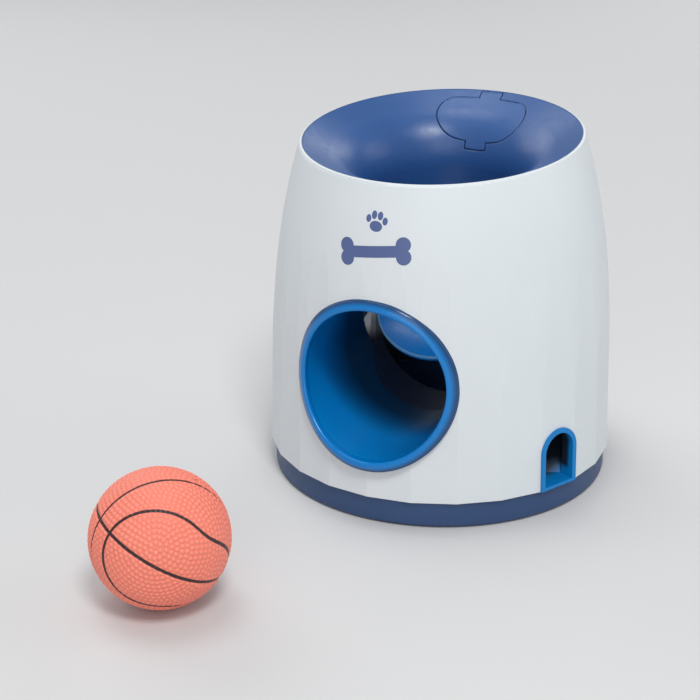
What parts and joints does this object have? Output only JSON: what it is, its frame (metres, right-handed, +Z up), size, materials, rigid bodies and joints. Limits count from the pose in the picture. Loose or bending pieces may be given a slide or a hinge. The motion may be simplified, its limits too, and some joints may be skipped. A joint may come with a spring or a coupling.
{
  "type": "dog treat puzzle",
  "caption": "Free-standing dog treat puzzle: a ball dropped in the funnel tips a dish, a dosing sector releases treats at a side outlet, and the ball rolls out of the front tube.",
  "frame": {"origin": "on the housing's upright axis at floor level", "axes": "+Z up along the housing's axis, -Y towards the ball exit, +X to the side of the treat outlet"},
  "size_m": [0.1728, 0.3079, 0.1779],
  "materials": {
    "shell_grey": "fine matt moulded texture",
    "funnel_navy": "satin moulded",
    "base_navy": "matt moulded",
    "tube_blue": "satin moulded",
    "trough_navy": "satin moulded",
    "chute_blue": "satin moulded",
    "hopper_grey": "matt moulded",
    "frame_grey": "matt moulded",
    "dish_blue": "glossy moulded",
    "sector_blue": "satin moulded",
    "steel": "bright drawn",
    "lid_navy": "satin moulded",
    "foot_rubber": "matt",
    "ball_coral": "satin vinyl with pebbles"
  },
  "bodies": {
    "housing": {"outer_shell": "shell_grey", "funnel": "funnel_navy", "base_tray": "base_navy", "exit_tube": "tube_blue", "ball_trough": "trough_navy", "treat_chute": "chute_blue", "hopper": "hopper_grey", "left_cheek": "frame_grey", "right_cheek": "frame_grey", "return_spring": "steel", "lid_hinge_pin": "steel", "rubber_feet": "foot_rubber", "base_screws": "steel", "frame_screws": "steel", "hopper_screws": "steel"},
    "treat_lid": {"lid": "lid_navy"},
    "tipper": {"dish": "dish_blue", "dish_shaft": "steel", "dosing_sector": "sector_blue", "shaft_clips": "steel"},
    "play_ball": {"ball": "ball_coral"}
  },
  "joints": [
    {"name": "lid_hinge", "type": "hinge", "parent": "housing", "child": "treat_lid", "pos_m": [0, 0.06335, 0.17516], "axis": [-1, 0, 0], "range_deg": [0, 100]},
    {"name": "dish_tip", "type": "hinge", "parent": "housing", "child": "tipper", "pos_m": [0, 0.0219, 0.06198], "axis": [1, 0, 0], "range_deg": [0, 34], "stiffness_Nm_per_rad": 0.006, "springref_deg": -28.65},
    {"name": "ball_roll", "type": "slide", "parent": "housing", "child": "play_ball", "axis": [0, -1, 0], "range_m": [0, 0.1]}
  ]
}
